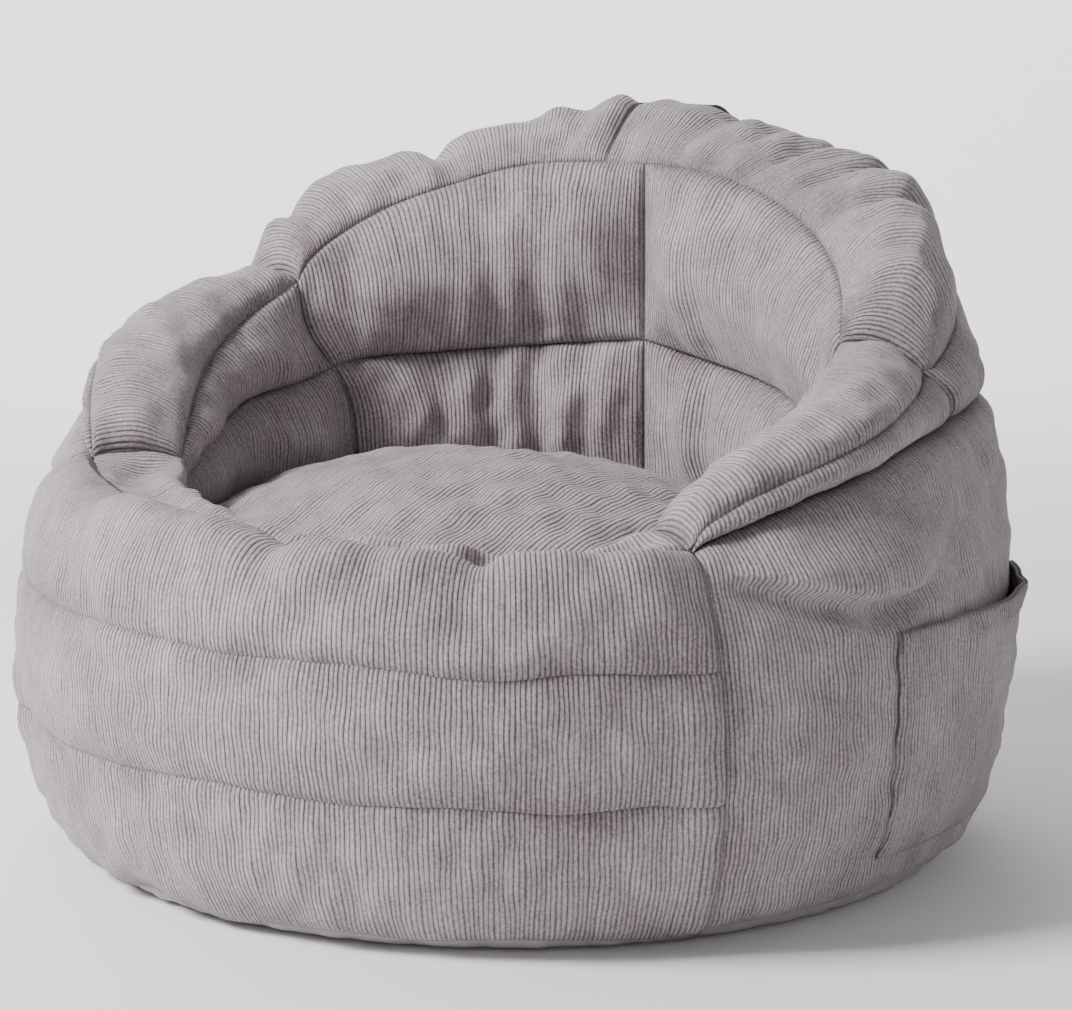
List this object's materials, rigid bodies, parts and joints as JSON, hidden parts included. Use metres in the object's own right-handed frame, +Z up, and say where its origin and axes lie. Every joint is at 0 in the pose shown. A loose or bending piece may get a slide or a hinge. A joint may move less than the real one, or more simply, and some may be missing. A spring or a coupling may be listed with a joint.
{
  "type": "bean bag chair",
  "caption": "Round bean bag lounge chair with quilted front channels, horseshoe arms and padded back, side pocket, webbing carry handle and curved filling zip.",
  "frame": {"origin": "centre of the flat base, on the floor", "axes": "+Z up; the chair faces -Y; +X is to the right seen from the front, the side with the pocket"},
  "size_m": [0.7994, 0.7795, 0.572],
  "materials": {
    "corduroy": "fine-wale corduroy in a heathered grey mauve with a brushed pile",
    "base_lining": "smooth plain-weave lining cloth",
    "bead_filling": "loose white beads",
    "webbing": "dark woven webbing",
    "zip_tape": "woven zip tape",
    "zip_plastic": "moulded nylon",
    "label_tape": "smooth satin label tape, blank"
  },
  "bodies": {
    "chair": {"base_panel": "base_lining", "seat_filling": "bead_filling", "front_filling": "bead_filling", "arm_filling_right": "bead_filling", "arm_filling_left": "bead_filling", "back_filling": "bead_filling", "front_channel_lower": "corduroy", "front_channel_middle": "corduroy", "front_channel_upper": "corduroy", "front_border": "corduroy", "seat_panel": "corduroy", "side_panel_right": "corduroy", "side_panel_left": "corduroy", "arm_strip_right": "corduroy", "arm_strip_left": "corduroy", "arm_boxing_right": "corduroy", "arm_boxing_left": "corduroy", "crown_right": "corduroy", "crown_left": "corduroy", "outer_back_right": "corduroy", "outer_back_left": "corduroy", "inner_arm_upper_right": "corduroy", "inner_arm_upper_left": "corduroy", "inner_arm_lower_right": "corduroy", "inner_arm_lower_left": "corduroy", "inner_back_upper_right": "corduroy", "inner_back_upper_left": "corduroy", "inner_back_lower_right": "corduroy", "inner_back_lower_left": "corduroy", "side_pocket": "corduroy", "pocket_hem": "corduroy", "handle_anchors": "webbing", "zip_tape": "zip_tape", "zip_coil": "zip_plastic", "care_label": "label_tape"},
    "handle": {"carry_handle": "webbing"},
    "slider": {"zip_slider": "zip_plastic"}
  },
  "joints": [
    {"name": "handle_swing", "type": "hinge", "parent": "chair", "child": "handle", "pos_m": [-0.06158, 0.34925, 0.51314], "axis": [-0.9848, -0.1736, 0], "range_deg": [-20, 60]},
    {"name": "zip_travel", "type": "hinge", "parent": "chair", "child": "slider", "pos_m": [0, 0, 0], "axis": [0, 0, -1], "range_deg": [0, 68]}
  ]
}
